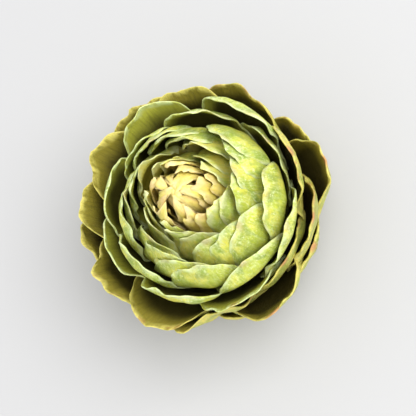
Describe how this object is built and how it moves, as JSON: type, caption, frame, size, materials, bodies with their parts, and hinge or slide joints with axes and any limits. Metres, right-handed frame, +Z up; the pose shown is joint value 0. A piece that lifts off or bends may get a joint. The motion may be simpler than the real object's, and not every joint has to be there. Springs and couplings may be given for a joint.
{
  "type": "artichoke",
  "caption": "Globe artichoke head of thick overlapping bracts round a folded pale crown, standing on its short cut stem.",
  "frame": {"origin": "centre of the stem's cut face, on the surface it rests on", "axes": "+Z up along the head's own axis from the stem to the crown, +X and +Y level"},
  "size_m": [0.1087, 0.1048, 0.0942],
  "materials": {
    "outer_bract": "waxy olive green with ochre rims and pink-brown tips",
    "middle_bract": "waxy fresh green with a pale bloom",
    "inner_bract": "waxy pale yellow-cream",
    "stem": "ribbed pale green with a dry cut face"
  },
  "bodies": {
    "root": {"bract_01": "outer_bract", "bract_02": "outer_bract", "bract_03": "outer_bract", "bract_04": "outer_bract", "bract_05": "outer_bract", "bract_06": "outer_bract", "bract_07": "outer_bract", "bract_08": "outer_bract", "bract_09": "outer_bract", "bract_10": "outer_bract", "bract_11": "outer_bract", "bract_12": "outer_bract", "bract_13": "outer_bract", "bract_14": "outer_bract", "bract_15": "outer_bract", "bract_16": "outer_bract", "bract_17": "outer_bract", "bract_18": "outer_bract", "bract_19": "outer_bract", "bract_20": "outer_bract", "bract_21": "outer_bract", "bract_22": "middle_bract", "bract_23": "middle_bract", "bract_24": "middle_bract", "bract_25": "middle_bract", "bract_26": "middle_bract", "bract_27": "middle_bract", "bract_28": "middle_bract", "bract_29": "middle_bract", "bract_30": "middle_bract", "bract_31": "middle_bract", "bract_32": "middle_bract", "bract_33": "middle_bract", "bract_34": "middle_bract", "bract_35": "middle_bract", "bract_36": "middle_bract", "bract_37": "middle_bract", "bract_38": "middle_bract", "bract_39": "inner_bract", "bract_40": "inner_bract", "bract_41": "inner_bract", "bract_42": "inner_bract", "bract_43": "inner_bract", "bract_44": "inner_bract", "inner_rosette": "inner_bract", "stem_and_heart": "stem"}
  },
  "joints": []
}
